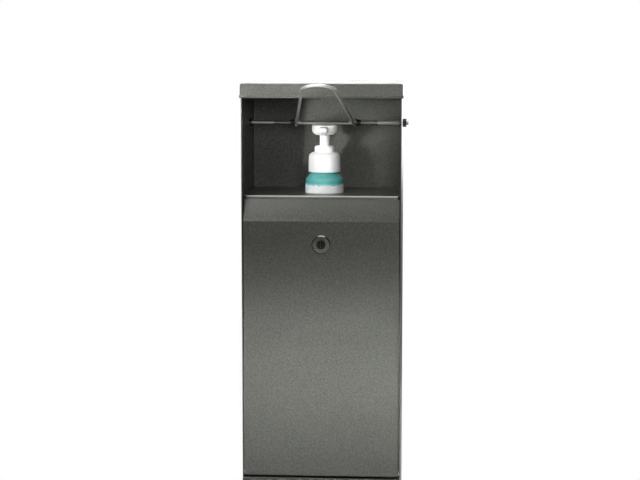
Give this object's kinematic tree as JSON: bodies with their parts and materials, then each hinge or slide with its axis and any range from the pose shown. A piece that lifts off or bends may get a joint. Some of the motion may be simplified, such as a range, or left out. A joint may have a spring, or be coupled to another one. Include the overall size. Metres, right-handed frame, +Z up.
{
  "type": "hand sanitizer floor stand",
  "caption": "Floor standing sheet-metal column with an open niche, pump bottle, elbow lever of bent wire and a locked drop-down door.",
  "frame": {"origin": "middle of the base plate's underside, on the floor", "axes": "+X to the stand's right as seen from the front, the front faces -Y, +Z up"},
  "size_m": [0.3, 0.2922, 1.0517],
  "materials": {
    "coated_steel": "dark grey satin coating, slightly grained",
    "zinc_steel": "plain zinc plating",
    "wire_steel": "bright drawn stainless wire",
    "black_fittings": "blackened steel",
    "lock_metal": "dark satin metal ring",
    "lock_black": "black lock core",
    "teal_plastic": "translucent teal bottle",
    "label_film": "plain pale label without print",
    "white_plastic": "white moulded pump",
    "clear_plastic": "natural translucent plastic"
  },
  "bodies": {
    "stand_frame": {"base_plate": "coated_steel", "column_screws": "zinc_steel", "column_nuts": "zinc_steel", "column_shell": "coated_steel", "lower_front_panel": "coated_steel", "shelf": "coated_steel", "hood": "coated_steel", "bottle_platform": "coated_steel", "platform_rivets": "zinc_steel", "hinge_pin_left": "zinc_steel", "hinge_pin_right": "zinc_steel", "bottle": "teal_plastic", "bottle_label": "label_film", "pump_collar": "white_plastic", "pump_chaplet": "white_plastic", "pump_housing": "clear_plastic", "pump_spring": "wire_steel", "dip_tube": "clear_plastic", "sleeve_left": "wire_steel", "sleeve_right": "wire_steel", "outer_nuts": "black_fittings", "inner_nuts": "black_fittings"},
    "door_leaf": {"door": "coated_steel", "lock_body": "lock_metal", "lock_nut": "zinc_steel"},
    "lock_core": {"lock_plug": "lock_black", "lock_cam": "zinc_steel", "cam_screw": "zinc_steel"},
    "lever": {"pivot_rod": "wire_steel", "set_collar_left": "black_fittings", "set_collar_right": "black_fittings", "lever_wire": "wire_steel", "press_bar": "wire_steel"},
    "pump_rod": {"pump_piston": "clear_plastic"},
    "pump_actuator": {"pump_head": "white_plastic"}
  },
  "joints": [
    {"name": "lever_pivot", "type": "hinge", "parent": "stand_frame", "child": "lever", "pos_m": [0, 0.026, 0.99169], "axis": [1, 0, 0], "range_deg": [0, 30]},
    {"name": "pump_press", "type": "slide", "parent": "stand_frame", "child": "pump_rod", "axis": [0, 0, -1], "range_m": [0, 0.0132], "stiffness_N_per_m": 800, "springref_m": -0.0125, "deforming": ["pump_spring"]},
    {"name": "nozzle_swivel", "type": "hinge", "parent": "pump_rod", "child": "pump_actuator", "pos_m": [0, 0, 0.95], "axis": [0, 0, 1], "continuous": true},
    {"name": "door_hinge", "type": "hinge", "parent": "stand_frame", "child": "door_leaf", "pos_m": [0, -0.0705, 0.5075], "axis": [1, 0, 0], "range_deg": [0, 90]},
    {"name": "lock_turn", "type": "hinge", "parent": "door_leaf", "child": "lock_core", "pos_m": [0, -0.075, 0.829], "axis": [0, -1, 0], "range_deg": [0, 90]}
  ],
  "couplings": [
    {"joint": "pump_press", "follows": "lever_pivot", "m_per_rad": 0.0252}
  ]
}
